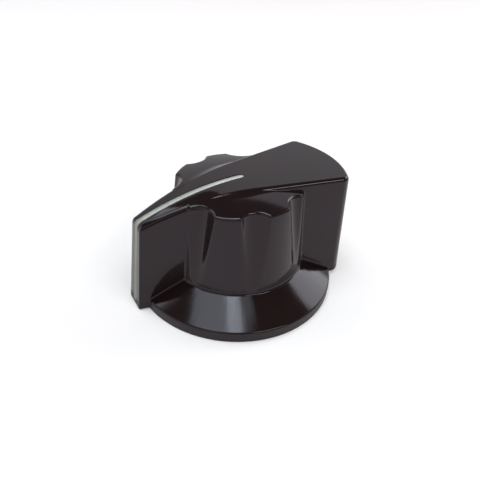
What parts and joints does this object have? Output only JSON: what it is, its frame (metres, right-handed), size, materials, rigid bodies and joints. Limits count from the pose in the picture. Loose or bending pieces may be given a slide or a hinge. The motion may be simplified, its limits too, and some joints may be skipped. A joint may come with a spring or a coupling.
{
  "type": "pointer knob",
  "caption": "Skirted pointer knob with a fluted hub, a wedge pointer with a pale line, a brass bush for a quarter-inch shaft and a grub screw.",
  "frame": {"origin": "on the shaft axis in the plane of the skirt's base, which is the side that faces the panel", "axes": "+Z along the shaft axis away from the panel, +Y the way the pointer aims, +X to the right seen from the front with the pointer up"},
  "size_m": [0.04, 0.0448, 0.0228],
  "materials": {
    "phenolic": "glossy dark brown-black moulded phenolic",
    "line_paint": "off-white filler paint with a faint green cast",
    "bush_brass": "turned and knurled brass",
    "screw_steel": "dark plated steel"
  },
  "bodies": {
    "root": {"knob_body": "phenolic", "pointer_line": "line_paint", "shaft_bush": "bush_brass", "grub_screw": "screw_steel"}
  },
  "joints": []
}
